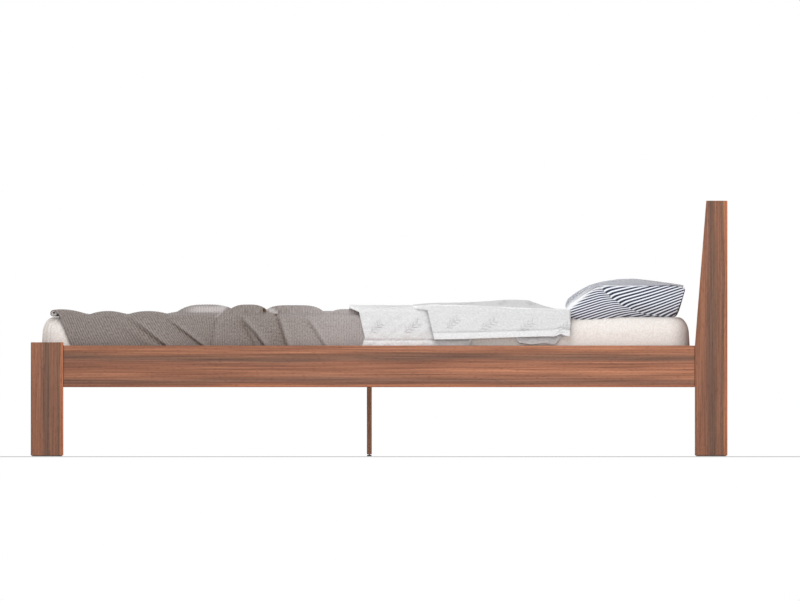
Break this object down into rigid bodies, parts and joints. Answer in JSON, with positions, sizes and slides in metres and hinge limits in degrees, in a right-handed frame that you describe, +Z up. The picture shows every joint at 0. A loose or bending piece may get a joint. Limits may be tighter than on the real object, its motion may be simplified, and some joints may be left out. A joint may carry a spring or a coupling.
{
  "type": "panel bed",
  "caption": "Low wooden panel bed with a raked headboard, slatted base and centre leg, made up with a mattress, pillows, turned-back quilt and ribbed throw.",
  "frame": {"origin": "on the floor, at the middle of the bed's plan", "axes": "+X from the foot to the head, +Y to the left as seen from the foot, +Z up"},
  "size_m": [2.14, 1.29, 0.785],
  "materials": {
    "frame_wood": "oiled walnut, satin",
    "slat_wood": "planed pine, untreated",
    "steel": "bright zinc plated",
    "felt": "pressed felt",
    "plastic": "moulded, matt",
    "webbing": "flat woven tape",
    "foam": "open-cell foam or fibre filling",
    "mattress_fabric": "knitted ticking",
    "throw_fabric": "ribbed knit",
    "quilt_fabric": "soft matelasse cotton",
    "pillow_fabric": "striped cotton"
  },
  "bodies": {
    "frame": {"foot_post_right": "frame_wood", "foot_post_left": "frame_wood", "head_post_right": "frame_wood", "head_post_left": "frame_wood", "side_rail_right": "frame_wood", "side_rail_left": "frame_wood", "foot_rail": "frame_wood", "head_rail": "frame_wood", "headboard_panel": "frame_wood", "centre_leg": "frame_wood", "slat_cleat_right": "slat_wood", "slat_cleat_left": "slat_wood", "centre_beam": "slat_wood", "slat_01": "slat_wood", "slat_02": "slat_wood", "slat_03": "slat_wood", "slat_04": "slat_wood", "slat_05": "slat_wood", "slat_06": "slat_wood", "slat_07": "slat_wood", "slat_08": "slat_wood", "slat_09": "slat_wood", "slat_10": "slat_wood", "slat_11": "slat_wood", "slat_12": "slat_wood", "slat_13": "slat_wood", "slat_14": "slat_wood", "slat_15": "slat_wood", "slat_strap_right": "webbing", "slat_strap_left": "webbing", "beam_hanger_foot": "steel", "beam_hanger_head": "steel", "bed_bolts": "steel", "bolt_washers": "steel", "barrel_nuts": "steel", "leg_bolt": "steel", "leg_nut": "steel", "leg_insert": "steel", "cleat_screws": "steel", "hanger_screws": "steel", "slat_screws": "steel", "side_rail_dowels": "slat_wood", "cross_rail_dowels": "slat_wood", "headboard_dowels": "slat_wood", "felt_pad_foot_right": "felt", "felt_pad_foot_left": "felt", "felt_pad_head_right": "felt", "felt_pad_head_left": "felt", "bolt_caps": "plastic"},
    "leveller": {"leveller_stud": "steel", "leveller_pad": "plastic"},
    "mattress": {"mattress_core": "foam", "mattress_cover": "mattress_fabric"},
    "throw": {"throw": "throw_fabric"},
    "quilt": {"quilt": "quilt_fabric"},
    "pillow_right": {"pillow_filling_right": "foam", "pillowcase_right": "pillow_fabric"},
    "pillow_left": {"pillow_filling_left": "foam", "pillowcase_left": "pillow_fabric"}
  },
  "joints": [
    {"name": "leveller_screw", "type": "slide", "parent": "frame", "child": "leveller", "axis": [0, 0, -1], "range_m": [-0.0015, 0.008]},
    {"name": "mattress_lift", "type": "slide", "parent": "frame", "child": "mattress", "axis": [0, 0, 1], "range_m": [0, 0.2]},
    {"name": "throw_lift", "type": "slide", "parent": "mattress", "child": "throw", "axis": [0, 0, 1], "range_m": [0, 0.12]},
    {"name": "quilt_lift", "type": "slide", "parent": "throw", "child": "quilt", "axis": [0, 0, 1], "range_m": [0, 0.12]},
    {"name": "pillow_right_lift", "type": "slide", "parent": "mattress", "child": "pillow_right", "axis": [0, 0, 1], "range_m": [0, 0.2]},
    {"name": "pillow_left_lift", "type": "slide", "parent": "mattress", "child": "pillow_left", "axis": [0, 0, 1], "range_m": [0, 0.2]}
  ]
}
